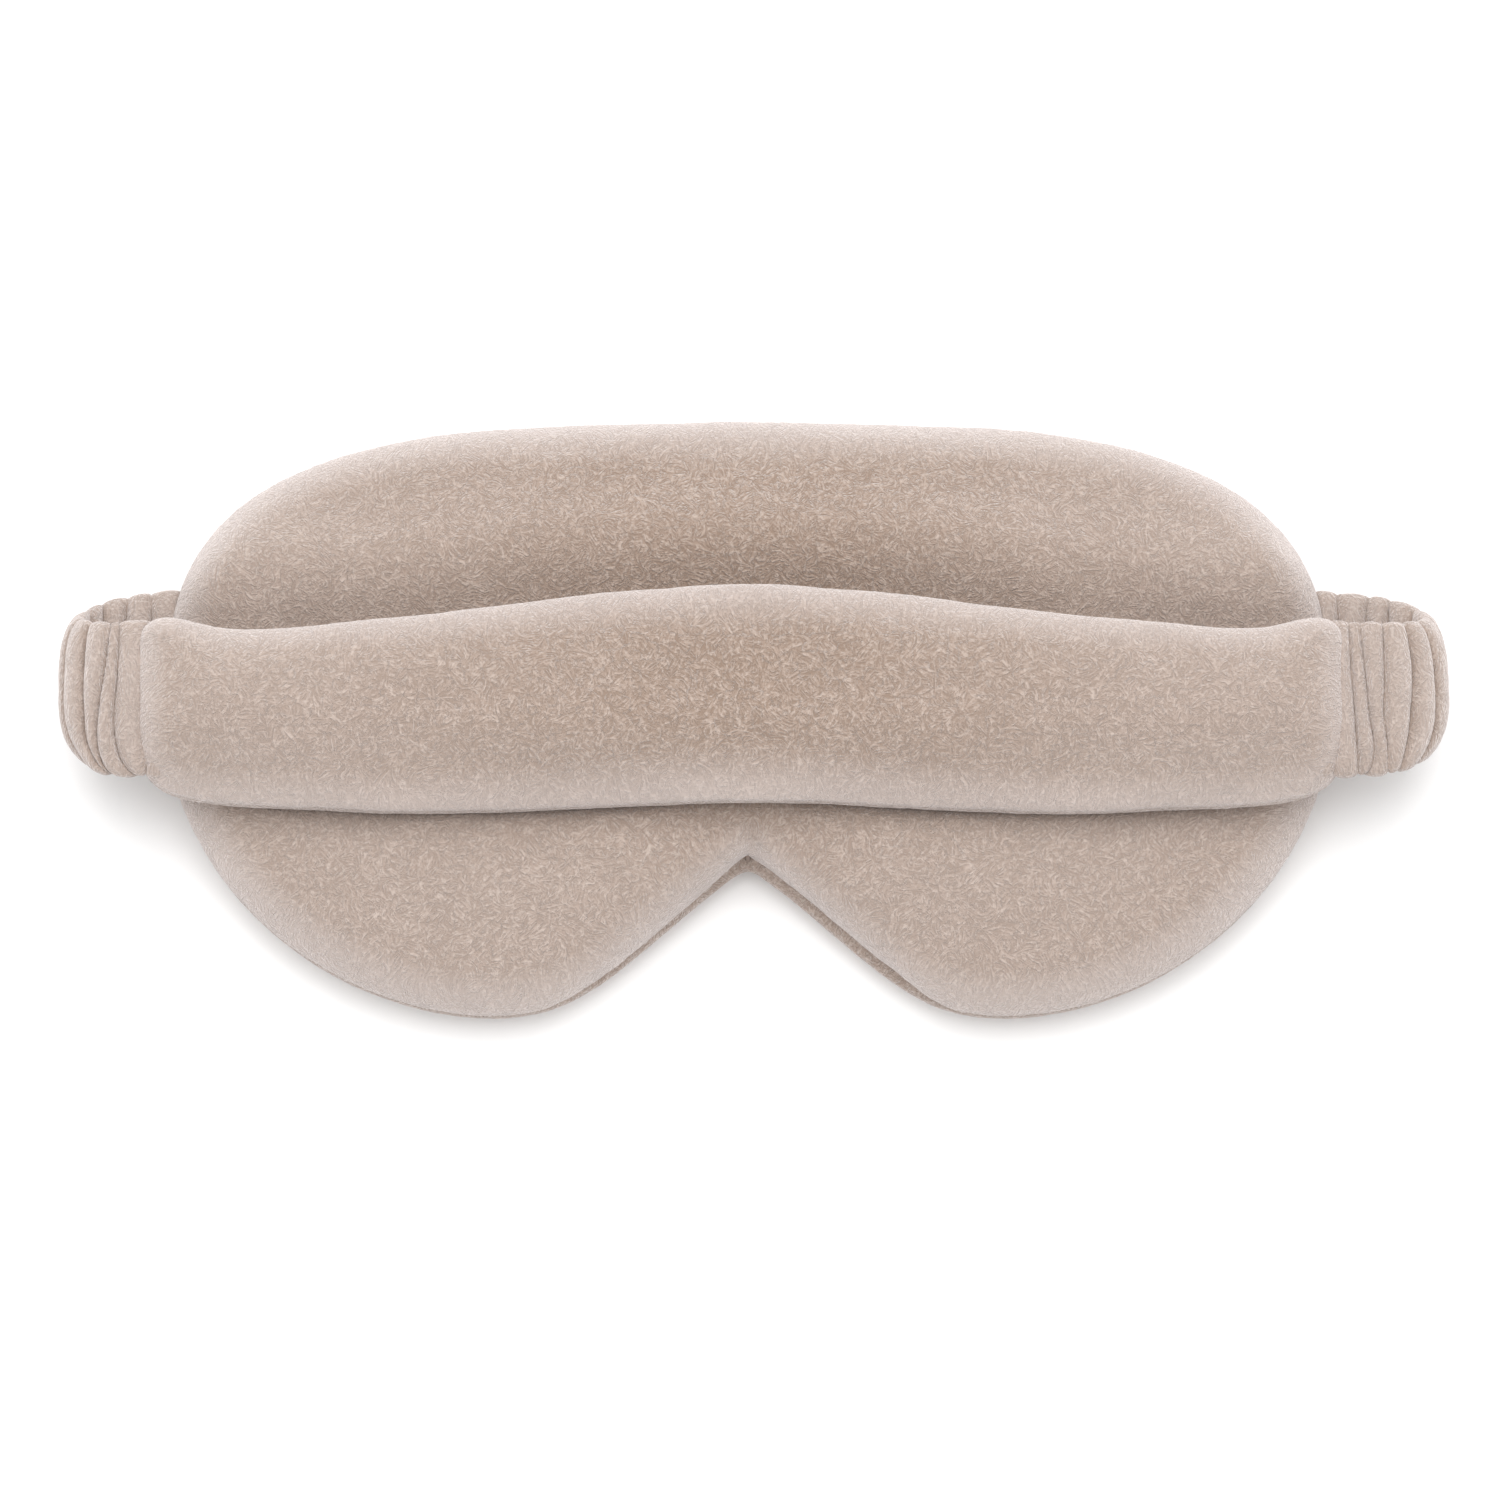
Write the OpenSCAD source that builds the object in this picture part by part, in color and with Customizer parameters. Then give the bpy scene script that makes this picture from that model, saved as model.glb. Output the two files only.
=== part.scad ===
// Padded sleep mask with a padded head band on two gathered elastic loops.
// It lies on its outer side: X runs from temple to temple, Y up to the brow, Z towards the face.
// Millimetres. The origin is under the middle of the mask, on the surface it lies on.

/* [Mask] */
// Width of the mask from temple to temple
mask_w = 227; // [215:1:240]
// From the mask's middle line up to the brow edge
brow_h = 58.7; // [54:0.1:62]
// From the mask's middle line down to the bottom of the lobes
lobe_h = 58.8; // [54:0.1:62]
// From the nose line out to the lowest point of each lobe
lobe_x = 49; // [44:1:54]
// From the mask's middle line down to the top of the nose notch
notch_h = 28.8; // [24:0.1:34]
// How far the notch's side falls for each millimetre outwards
notch_slope = 0.81; // [0.7:0.01:0.95]
// Height of the mask's edge seam above the surface
seam_z = 9; // [7:0.5:11]
// Height of the padded mask's crown
crown_z = 20.5; // [18:0.5:24]
// How far in from the edge the padding rounds off
mask_round = 11; // [8:0.5:12]

/* [Head band] */
// Length of the padded band between its two ends
band_w = 237; // [225:1:245]
// Thickness of the padded band
band_t = 17.5; // [14:0.5:20]
// Height of the band above its middle line at its ends
band_up = 15.4; // [14:0.1:17]
// Extra height of the band over the nose
band_arch = 7.6; // [4:0.1:9]
// Depth of the band below its middle line
band_down = 22.2; // [20:0.1:23]
// How far in from the edge the band rounds off
band_round = 9; // [7:0.5:10]

/* [Elastic loops] */
// Width of the gathered sleeve where it leaves the mask
sleeve_w = 32; // [28:0.5:34]
// Width of the gathered sleeve where it enters the band
sleeve_end_w = 27; // [24:0.5:28]
// Thickness of the gathered sleeve
sleeve_t = 5; // [4:0.5:6]
// How far each loop stands out beyond the mask's side
loop_out = 21.7; // [19:0.1:26]
// Height of the loop's middle line on the mask's side seam
loop_mask_y = 9.4; // [4:0.1:10]
// Height of the loop's middle line in the band's end
loop_band_y = -1.5; // [-2:0.1:0]
// Width of the woven elastic inside the sleeve
webbing_w = 22; // [18:1:23]
// Thickness of the woven elastic
webbing_t = 1.2; // [0.8:0.1:1.4]

/* [Cloth] */
// Thickness of the plush panels
cloth_t = 1.2; // [1:0.1:1.5]
// Thickness of the blackout liner
liner_t = 0.5; // [0.3:0.1:0.8]
// Thickness of a line of stitching
thread_t = 0.8; // [0.6:0.1:1]

/* [Hidden] */

half_w = mask_w / 2;
half_band = band_w / 2;
gap = 0.25; // clearance between nested soft layers
rest_gap = 0.4; // clearance between the mask and the band that lies on it
mask_dome = 0.5; // extra rise of the mask from its shoulder to its crown
band_dome = 3; // extra rise of the band from its shoulder to its crown
brow_power = 3.05; // how square the brow's curve is
lobe_power = 1.9; // how square the lobes' outer curve is
band_power = 12; // how square the band's ends are
core = [0, 6]; // middle of the mask's padding
band_z = crown_z + rest_gap;
band_top_z = band_z + band_t;
band_seam_z = band_z + 0.49 * band_t;
loop_r = (band_seam_z - seam_z) / 2; // radius of the loop's turn
loop_x = half_w + loop_out - sleeve_t / 2 - loop_r; // middle of the loop's turn
anchor_depth = 6.5; // how far each loop's ends reach into the mask and the band
padding_in = cloth_t + thread_t + 2 * gap; // from the edge to the padding
plush = "tan";
arc_steps = 4; // rings round each padded edge

// ---------- Outlines ----------

function superellipse(a, b, power, angle) =
  [a * pow(cos(angle), 2 / power), b * pow(sin(angle), 2 / power)];

function bezier(p, q, r, t) = (1 - t) * (1 - t) * p + 2 * t * (1 - t) * q + t * t * r;

flank_start = [lobe_x / 2, -notch_h - notch_slope * lobe_x / 2];
lobe_corner = [(lobe_h - notch_h) / notch_slope, -lobe_h];
notch_top = [0, -notch_h];

// The right half of the mask's edge, from the middle of the brow to the top of the notch.
half_edge = concat(
  [for (i = [0:11]) superellipse(half_w, brow_h, brow_power, 90 - 7.5 * i)],
  [for (i = [0:8]) let (p = superellipse(half_w - lobe_x, lobe_h, lobe_power, 10 * i)) [lobe_x + p.x, -p.y]],
  [for (i = [0:3]) bezier([lobe_x, -lobe_h], lobe_corner, flank_start, i / 4)],
  [for (i = [0:3]) flank_start + (notch_top - flank_start) * i / 3]
);
last = len(half_edge) - 1;
mask_edge = concat(half_edge, [for (i = [last - 1:-1:1]) [-half_edge[i].x, half_edge[i].y]]);
edge_n = len(mask_edge);

function unit(v) = v / norm(v);

// The direction from each point of the edge into the padding.
mask_inward = [
  for (i = [0:edge_n - 1])
    let (t = unit(mask_edge[(i + 1) % edge_n] - mask_edge[(i + edge_n - 1) % edge_n])) [t.y, -t.x]
];

// A ring round the mask: moved in from the edge, then drawn towards the core.
function mask_ring(inset, share, z) = [
  for (i = [0:edge_n - 1])
    let (p = core + share * (mask_edge[i] + inset * mask_inward[i] - core)) [p.x, p.y, z]
];

function band_upper(x) = band_up + band_arch * exp(-pow(abs(x) / 59, 3));
function band_lower(x) = -band_down + 2.1 * exp(-pow(x / 25, 2)) + 1.8 * pow(x / half_band, 4);

band_steps = [0, 0.13, 0.26, 0.39, 0.52, 0.65, 0.77, 0.87, 0.94, 0.975, 0.993];
band_right = concat(
  [for (f = band_steps) [f, pow(1 - pow(f, band_power), 1 / band_power)]],
  [[1, 0.4], [1, 0], [1, -0.4]]
);
band_round_trip = concat(
  band_right,
  [for (i = [10:-1:0]) [band_right[i].x, -band_right[i].y]],
  [for (i = [1:10]) [-band_right[i].x, -band_right[i].y]],
  [[-1, -0.4], [-1, 0], [-1, 0.4]],
  [for (i = [10:-1:1]) [-band_right[i].x, band_right[i].y]]
);

// A ring round the band: moved in from the edge, then drawn towards its spine.
function band_ring(inset, share, z) = [
  for (s = band_round_trip)
    let (
      half_len = half_band - inset - (1 - share) * band_up,
      x = half_len * s.x,
      middle = (band_upper(x) + band_lower(x)) / 2,
      half_h = (band_upper(x) - band_lower(x)) / 2 - inset
    ) [x, middle + half_h * share * s.y, z]
];
band_middle_y = (band_upper(0) + band_lower(0)) / 2;

// ---------- Padded surfaces ----------

// Rings from a padded edge up or down to its crown, as [inset, share, z].
function swell(inset, z_edge, z_crown, dome, width) = concat(
  [
    for (k = [0:arc_steps])
      let (a = 90 * k / arc_steps) [inset + width * (1 - cos(a)), 1, z_edge + (z_crown - dome - z_edge) * sin(a)]
  ],
  [for (share = [0.72, 0.42]) [inset + width, share, z_crown - dome * share * share]]
);

function reversed(list) = [for (i = [len(list) - 1:-1:0]) list[i]];

// A closed solid through rings that all have the same number of points, with a point at each end.
module lofted(rings, first_point, last_point) {
  n = len(rings[0]);
  m = len(rings);
  points = concat([first_point], [for (r = rings) each r], [last_point]);
  faces = concat(
    [for (j = [0:n - 1]) [0, 1 + j, 1 + (j + 1) % n]],
    [
      for (i = [0:m - 2], j = [0:n - 1])
        let (a = 1 + i * n + j, b = 1 + i * n + (j + 1) % n) each [[a, a + n, b], [b, a + n, b + n]]
    ],
    [for (j = [0:n - 1]) [1 + m * n, 1 + (m - 1) * n + (j + 1) % n, 1 + (m - 1) * n + j]]
  );
  polyhedron(points, faces);
}

// Both surfaces of a mask solid are listed from the crown down; the lower one is turned round.
module mask_solid(upper, lower, upper_z, lower_z) {
  rings = [for (s = concat(reversed(upper), lower)) mask_ring(s[0], s[1], s[2])];
  lofted(rings, [core.x, core.y, upper_z], [core.x, core.y, lower_z]);
}

module band_solid(upper, lower, upper_z, lower_z) {
  rings = [for (s = concat(reversed(upper), lower)) band_ring(s[0], s[1], s[2])];
  lofted(rings, [0, band_middle_y, upper_z], [0, band_middle_y, lower_z]);
}

// ---------- Elastic loops ----------

// The loop's middle line, as [x, z, heading], from inside the mask's seam round to inside the band.
turn_steps = 12;
loop_start = half_w - anchor_depth;
loop_end = half_band - anchor_depth;
loop_path = concat(
  [for (x = [loop_start, (loop_start + loop_x) / 2]) [x, seam_z, 0]],
  [
    for (k = [0:turn_steps])
      let (a = 180 * k / turn_steps) [loop_x + loop_r * sin(a), seam_z + loop_r * (1 - cos(a)), a]
  ],
  [[loop_end, band_seam_z, 180]]
);
loop_n = len(loop_path);

// How far round the turn a station is: its two legs are straight.
function loop_share(i) = loop_path[i].z / 180;
function loop_y(i) = loop_mask_y + (loop_band_y - loop_mask_y) * loop_share(i);
function loop_half_w(i) = (sleeve_w + (sleeve_end_w - sleeve_w) * loop_share(i)) / 2;

// One cross-section of the loop: a rectangle w by t with its long edges bevelled by b.
function section(w, t, b) = [
  [-w / 2, t / 2 - b], [-w / 2 + b, t / 2], [w / 2 - b, t / 2], [w / 2, t / 2 - b],
  [w / 2, b - t / 2], [w / 2 - b, -t / 2], [b - w / 2, -t / 2], [-w / 2, b - t / 2]
];

// Places a cross-section's points square to the loop's middle line at one station.
function loop_ring(i, outline) = [
  for (q = outline)
    let (s = loop_path[i]) [s.x - q.y * sin(s.z), loop_y(i) + q.x, s.y + q.y * cos(s.z)]
];

// A strip along the loop. With a second list of sections it is a tube with open ends.
module loop_strip(outer, inner = []) {
  n = 8;
  hollow = len(inner) > 0;
  points = concat(
    [for (i = [0:loop_n - 1]) each loop_ring(i, outer[i])],
    hollow ? [for (i = [0:loop_n - 1]) each loop_ring(i, inner[i])] : []
  );
  hole = loop_n * n; // index of the first inner point
  end = (loop_n - 1) * n; // index of the last station's first point
  walls = [
    for (i = [0:loop_n - 2], j = [0:n - 1])
      let (a = i * n + j, b = i * n + (j + 1) % n) each [[a, b, a + n], [b, b + n, a + n]]
  ];
  inside = [for (f = walls) [f[0] + hole, f[2] + hole, f[1] + hole]];
  rims = [
    for (j = [0:n - 1])
      let (k = (j + 1) % n) each [
        [j, hole + j, k], [k, hole + j, hole + k],
        [end + j, end + k, end + hole + j], [end + k, end + hole + k, end + hole + j]
      ]
  ];
  caps = [[for (j = [n - 1:-1:0]) j], [for (j = [0:n - 1]) end + j]];
  polyhedron(points, hollow ? concat(walls, inside, rims) : concat(walls, caps));
}

module right_sleeve() {
  wall = cloth_t;
  bevel = 1;
  outer = [for (i = [0:loop_n - 1]) section(2 * loop_half_w(i), sleeve_t, bevel)];
  inner = [for (i = [0:loop_n - 1]) section(2 * (loop_half_w(i) - wall), sleeve_t - 2 * wall, bevel / 2)];
  loop_strip(outer, inner);
}

module right_webbing() {
  bevel = 0.3;
  loop_strip([for (i = [0:loop_n - 1]) section(webbing_w, webbing_t, bevel)]);
}

// The pockets in the mask's side seams and in the band's ends that hold the loops' ends.
slot_room = 0.6;
slot_behind = 2.2; // room behind the loop's end for its stitching

module slots(from_x, y, w, z) {
  for (side = [-1, 1])
    translate([side * (from_x - slot_behind + 10), y, z])
      cube([20, w + 2 * slot_room, sleeve_t + 2 * slot_room], center = true);
}

module mask_slots() {
  slots(loop_start, loop_mask_y, sleeve_w, seam_z);
}

module band_slots() {
  slots(loop_end, loop_band_y, sleeve_end_w, band_seam_z);
}

// A row of stitches across a loop's end.
module stitch_row(x, y, w, z) {
  stitches = 7;
  pitch = w / stitches;
  for (i = [0:stitches - 1])
    translate([x, y + (i - (stitches - 1) / 2) * pitch, z])
      cube([thread_t, 0.6 * pitch, 0.8 * sleeve_t], center = true);
}

// ---------- Mask ----------

module face_panel() {
  color(plush)
    difference() {
      mask_solid(
        swell(0, seam_z, crown_z, mask_dome, mask_round),
        swell(cloth_t, seam_z, crown_z - cloth_t, mask_dome, mask_round - cloth_t),
        crown_z, crown_z - cloth_t
      );
      mask_slots();
    }
}

module outer_panel() {
  color(plush)
    difference() {
      mask_solid(
        swell(cloth_t, seam_z, cloth_t, 0, mask_round - cloth_t),
        swell(0, seam_z, 0, 0, mask_round),
        cloth_t, 0
      );
      mask_slots();
    }
}

module face_padding() {
  floor_z = seam_z + liner_t / 2 + gap;
  width = mask_round - padding_in;
  top = crown_z - cloth_t - gap;
  color("ivory")
    difference() {
      mask_solid(swell(padding_in, floor_z, top, mask_dome, width), [], top, floor_z);
      mask_slots();
    }
}

module outer_padding() {
  ceiling_z = seam_z - liner_t / 2 - gap;
  width = mask_round - padding_in;
  bottom = cloth_t + gap;
  color("ivory")
    difference() {
      mask_solid([], swell(padding_in, ceiling_z, bottom, 0, width), ceiling_z, bottom);
      mask_slots();
    }
}

module flat_mask_shape(inset) {
  polygon([for (p = mask_ring(inset, 1, 0)) [p.x, p.y]]);
}

module blackout_liner() {
  color("black")
    difference() {
      translate([0, 0, seam_z - liner_t / 2])
        linear_extrude(liner_t)
          flat_mask_shape(padding_in);
      mask_slots();
    }
}

module edge_stitching() {
  color("rosybrown")
    difference() {
      translate([0, 0, seam_z - thread_t / 2])
        linear_extrude(thread_t)
          difference() {
            flat_mask_shape(cloth_t + gap / 2);
            flat_mask_shape(cloth_t + gap / 2 + thread_t);
          }
      mask_slots();
    }
}

// The tack wraps the seam at the top of the notch, half sunk in the cloth.
module nose_tack() {
  tack_h = 4;
  color("rosybrown")
    translate([0, -notch_h, seam_z - tack_h / 2])
      cylinder(h = tack_h, d = thread_t, $fn = 24);
}

module side_stitching(side) {
  color("rosybrown")
    translate([side * (loop_start - thread_t / 2 - gap), 0, 0])
      stitch_row(0, loop_mask_y, webbing_w, seam_z);
}

// ---------- Head band ----------

module band_front_panel() {
  color(plush)
    difference() {
      band_solid(
        swell(0, band_seam_z, band_top_z, band_dome, band_round),
        swell(cloth_t, band_seam_z, band_top_z - cloth_t, band_dome, band_round - cloth_t),
        band_top_z, band_top_z - cloth_t
      );
      band_slots();
    }
}

module band_back_panel() {
  color(plush)
    difference() {
      band_solid(
        swell(cloth_t, band_seam_z, band_z + cloth_t, 0, band_round - cloth_t),
        swell(0, band_seam_z, band_z, 0, band_round),
        band_z + cloth_t, band_z
      );
      band_slots();
    }
}

module band_padding() {
  width = band_round - padding_in;
  top = band_top_z - cloth_t - gap;
  bottom = band_z + cloth_t + gap;
  color("ivory")
    difference() {
      band_solid(
        swell(padding_in, band_seam_z, top, band_dome, width),
        swell(padding_in, band_seam_z, bottom, 0, width),
        top, bottom
      );
      band_slots();
    }
}

module flat_band_shape(inset) {
  polygon([for (p = band_ring(inset, 1, 0)) [p.x, p.y]]);
}

module band_stitching() {
  color("rosybrown")
    difference() {
      translate([0, 0, band_seam_z - thread_t / 2])
        linear_extrude(thread_t)
          difference() {
            flat_band_shape(cloth_t + gap / 2);
            flat_band_shape(cloth_t + gap / 2 + thread_t);
          }
      band_slots();
    }
}

module band_end_stitching(side) {
  color("rosybrown")
    translate([side * (loop_end - thread_t / 2 - gap), 0, 0])
      stitch_row(0, loop_band_y, webbing_w, band_seam_z);
}

// ---------- Loops on each side ----------

module left() {
  mirror([1, 0, 0])
    children();
}

module left_elastic_sleeve() {
  color(plush) left() right_sleeve();
}

module left_elastic_webbing() {
  color("white") left() right_webbing();
}

module right_elastic_sleeve() {
  color(plush) right_sleeve();
}

module right_elastic_webbing() {
  color("white") right_webbing();
}

face_panel();
outer_panel();
face_padding();
outer_padding();
blackout_liner();
edge_stitching();
nose_tack();
side_stitching(-1);  // left_side_stitching
side_stitching(1);  // right_side_stitching
band_front_panel();
band_back_panel();
band_padding();
band_stitching();
band_end_stitching(-1);  // left_band_end_stitching
band_end_stitching(1);  // right_band_end_stitching
left_elastic_sleeve();
left_elastic_webbing();
right_elastic_sleeve();
right_elastic_webbing();
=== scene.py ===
"""A plush sleep mask lying under its padded head band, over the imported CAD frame. Metres, Z up."""

import math

import bpy
import numpy as np
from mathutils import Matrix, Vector
from mathutils.geometry import delaunay_2d_cdt


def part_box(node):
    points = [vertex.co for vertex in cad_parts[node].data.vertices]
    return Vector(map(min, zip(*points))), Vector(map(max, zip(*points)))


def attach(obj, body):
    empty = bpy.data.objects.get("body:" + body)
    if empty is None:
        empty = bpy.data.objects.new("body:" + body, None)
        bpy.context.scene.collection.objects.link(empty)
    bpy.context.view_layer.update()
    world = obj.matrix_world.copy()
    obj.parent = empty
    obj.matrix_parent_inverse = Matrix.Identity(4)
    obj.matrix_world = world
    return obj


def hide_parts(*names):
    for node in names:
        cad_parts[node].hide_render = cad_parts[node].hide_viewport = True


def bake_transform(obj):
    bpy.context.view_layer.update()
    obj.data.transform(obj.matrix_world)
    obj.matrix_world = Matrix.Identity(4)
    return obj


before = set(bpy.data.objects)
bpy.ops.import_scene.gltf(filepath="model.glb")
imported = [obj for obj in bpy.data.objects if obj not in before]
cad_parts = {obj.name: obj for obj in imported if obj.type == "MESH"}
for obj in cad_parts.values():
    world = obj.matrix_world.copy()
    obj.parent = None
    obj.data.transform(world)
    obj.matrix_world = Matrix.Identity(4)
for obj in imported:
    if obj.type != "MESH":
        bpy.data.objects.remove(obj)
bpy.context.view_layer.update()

MM = 0.001

# ---------- Sizes, from the frame where it holds them ----------

outer_low, outer_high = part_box("outer_panel")
face_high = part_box("face_panel")[1]
back_low, back_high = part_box("band_back_panel")
front_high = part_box("band_front_panel")[1]
sleeve_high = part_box("right_elastic_sleeve")[1]

SEAM_Z = outer_high.z
CROWN_Z = face_high.z
BROW_H = outer_high.y
LOBE_H = -outer_low.y
MASK_HALF_W = 113.5 * MM
LOBE_X = 49 * MM  # where each lobe hangs lowest
NOTCH_H = 30.3 * MM  # how far the notch's top lies below the middle line
NOTCH_SLOPE = 0.8

BAND_HALF_W = 117.3 * MM
BAND_Z = back_low.z
BAND_SEAM_Z = back_high.z
BAND_TOP_Z = front_high.z

SLEEVE_T = 5 * MM
LOOP_MASK_Y = 9.4 * MM  # Y of a loop's middle line where it leaves the mask
LOOP_BAND_Y = 0.3 * MM  # and where it enters the band
LOOP_R = (BAND_SEAM_Z - SEAM_Z) / 2
LOOP_X = sleeve_high.x - SLEEVE_T / 2 - LOOP_R  # middle of a loop's turn

SEAM_DRAW = 0.8 * MM  # how far a sewn edge is drawn in at its seam
STITCH_INSET = 1.2 * MM  # how far a line of stitches lies inside its seam
STITCH_PITCH = 3 * MM
LINER_INSET = 6 * MM
WADDING_INSET = 6.5 * MM
END_ROW_INSET = 5 * MM  # how far the rows of stitches that hold the loops lie inside the seams
FINE = 3  # how often the padded meshes are refined


# ---------- Small helpers ----------

def smooth(t):
    """A soft step from 0 to 1."""
    t = np.clip(t, 0, 1)
    return t * t * (3 - 2 * t)


def unit(v):
    """The vectors at length 1."""
    return v / np.maximum(np.linalg.norm(v, axis=-1, keepdims=True), 1e-12)


def bell(t):
    """A soft bump that is 1 at 0."""
    return np.exp(-t * t)


def noise(p, size, seed):
    """Smooth random values from -1 to 1 at points p, with bumps about that size across.

    The values at the corners of each cell come from a hash of the corner's number.
    """
    cell = np.floor(p / size).astype(np.int64)
    f = smooth(p / size - cell)
    total = np.zeros(len(p))
    for corner in np.ndindex(2, 2, 2):
        c = cell + np.array(corner)
        h = c[:, 0] * 73856093 ^ c[:, 1] * 19349663 ^ c[:, 2] * 83492791 ^ seed * 374761393
        h = (h ^ h >> 13) * 1274126177 & 0x7FFFFFFF
        h = (h ^ h >> 16) & 0xFFFF
        total += np.prod(np.where(corner, f, 1 - f), axis=1) * (h / 0x7FFF - 1)
    return total


def swirl(p, size, seed):
    """Smooth random vectors."""
    return np.stack([noise(p, size, seed + k) for k in range(3)], axis=1)


def streaks(p, direction, size, length, seed, taps=5):
    """Noise drawn out along a direction, like locks of pile."""
    steps = np.linspace(-0.5, 0.5, taps) * length
    return sum(noise(p + s * direction, size, seed) for s in steps) / math.sqrt(taps)


def points_of(mesh):
    """A mesh's points as an array."""
    co = np.zeros(len(mesh.vertices) * 3)
    mesh.vertices.foreach_get("co", co)
    return co.reshape(-1, 3)


def mesh_object(name, points, faces):
    """A smooth-shaded mesh in the scene, from arrays or lists of points and faces."""
    mesh = bpy.data.meshes.new(name)
    mesh.from_pydata(points.tolist(), [], faces.tolist() if isinstance(faces, np.ndarray) else faces)
    mesh.shade_smooth()
    ob = bpy.data.objects.new(name, mesh)
    bpy.context.scene.collection.objects.link(ob)
    return ob


def frozen(ob):
    """The points, faces and panel numbers of an object with its modifiers applied."""
    mesh = bpy.data.meshes.new_from_object(ob.evaluated_get(bpy.context.evaluated_depsgraph_get()))
    faces = [tuple(p.vertices) for p in mesh.polygons]
    panel = np.zeros(len(faces), np.int32)
    mesh.polygons.foreach_get("material_index", panel)
    return points_of(mesh), faces, panel


def vertex_normals(points, quads):
    """The outward direction at each point of a mesh of quads."""
    a, b, c, d = (points[quads[:, k]] for k in range(4))
    face = np.cross(c - a, d - b)
    total = np.zeros_like(points)
    for k in range(4):
        np.add.at(total, quads[:, k], face)
    return unit(total)


# ---------- Outlines ----------

def evenly(line, spacing):
    """The line again, with points about that far apart and its two ends kept."""
    along = np.concatenate([[0], np.cumsum(np.linalg.norm(np.diff(line, axis=0), axis=1))])
    at = np.linspace(0, along[-1], round(along[-1] / spacing) + 1)
    return np.stack([np.interp(at, along, line[:, k]) for k in range(2)], axis=1)


def superellipse(a, b, power, angle):
    """Points of a squared-off ellipse in its first quarter."""
    return np.stack([a * np.cos(angle) ** (2 / power), b * np.sin(angle) ** (2 / power)], axis=1)


def mirrored(half):
    """A closed outline from its right half, which starts and ends on the middle line."""
    return np.concatenate([half, half[-2:0:-1] * [-1, 1]])


def mask_outline(spacing):
    """The mask's outline: a squared-off brow, two round lobes and the notch between them."""
    quarter = np.linspace(math.pi / 2, 0, 90)
    brow = superellipse(MASK_HALF_W, BROW_H, 3.15, quarter)
    lobe = superellipse(MASK_HALF_W - LOBE_X, LOBE_H, 1.9, quarter[::-1]) * [1, -1] + [LOBE_X, 0]
    flank = np.array([LOBE_X / 2, -NOTCH_H - NOTCH_SLOPE * LOBE_X / 2])
    corner = np.array([(LOBE_H - NOTCH_H) / NOTCH_SLOPE, -LOBE_H])
    t = np.linspace(0, 1, 24)[:, None]
    turn = (1 - t) ** 2 * lobe[-1] + 2 * t * (1 - t) * corner + t * t * flank
    return mirrored(evenly(np.concatenate([brow, lobe[1:], turn[1:], [[0, -NOTCH_H]]]), spacing))


def band_upper(x):
    """Height of the band's upper edge, which rises over the brow and a little at its corners."""
    brow = 8.65 * MM * np.exp(-np.abs(x / (62 * MM)) ** 2.3)
    corner = 2.6 * MM * smooth((np.abs(x) - 99 * MM) / (14 * MM))
    return 14.1 * MM + brow + corner


def band_lower(x):
    """Height of the band's lower edge, which rises over the notch and towards its ends."""
    over_notch = 2.7 * MM * bell(x / (27 * MM))
    ends = 1.9 * MM * np.abs(x / BAND_HALF_W) ** 3
    return -22.0 * MM + over_notch + ends


def band_outline(spacing):
    """The band's outline: its upper corners are tighter than its lower ones."""
    f = np.concatenate([np.linspace(0, 0.88, 60), 1 - np.geomspace(0.12, 0.0002, 80)])
    x = BAND_HALF_W * f
    middle, half_h = (band_upper(x) + band_lower(x)) / 2, (band_upper(x) - band_lower(x)) / 2
    upper = np.stack([x, middle + half_h * (1 - f ** 45) ** (1 / 9)], axis=1)
    lower = np.stack([x, middle - half_h * (1 - f ** 14) ** (1 / 5)], axis=1)[::-1]
    outline = mirrored(evenly(np.concatenate([upper, lower]), spacing))
    outline[:, 0] -= 1.3 * MM * (outline[:, 0] / BAND_HALF_W) ** 2
    return outline


def to_edge(xy, edge):
    """How far each point is inside an outline, and its direction inwards from the nearest edge.

    The distance is less than 0 outside.
    """
    a, b = edge, np.roll(edge, -1, axis=0)
    run = b - a
    length = np.linalg.norm(run, axis=1)
    inward = np.stack([run[:, 1], -run[:, 0]], axis=1) / length[:, None]
    far, way = np.zeros(len(xy)), np.zeros((len(xy), 2))
    block = 4000  # points at a time, so that the arrays stay small
    for i in range(0, len(xy), block):
        p = xy[i:i + block, None]
        t = np.clip(((p - a) * run).sum(2) / length ** 2, 0, 1)
        away = p - a - t[..., None] * run
        gap = np.linalg.norm(away, axis=2)
        k = gap.argmin(1)
        rows = np.arange(len(k))
        up = (edge[:, 1] > p[..., 1]) != (b[:, 1] > p[..., 1])
        with np.errstate(divide="ignore", invalid="ignore"):
            crossing = a[:, 0] + (p[..., 1] - a[:, 1]) * run[:, 0] / run[:, 1]
        sign = np.where((up & (p[..., 0] < crossing)).sum(1) % 2 == 1, 1, -1)
        far[i:i + block] = sign * gap[rows, k]
        way[i:i + block] = unit(sign[:, None] * away[rows, k] + 0.5 * MM * inward[k])
    return far, way


# ---------- Padded pieces ----------

RING_INSETS = (1.8 * MM, 4.6 * MM, 8.6 * MM)  # rows of points that follow a pad's edge


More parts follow.
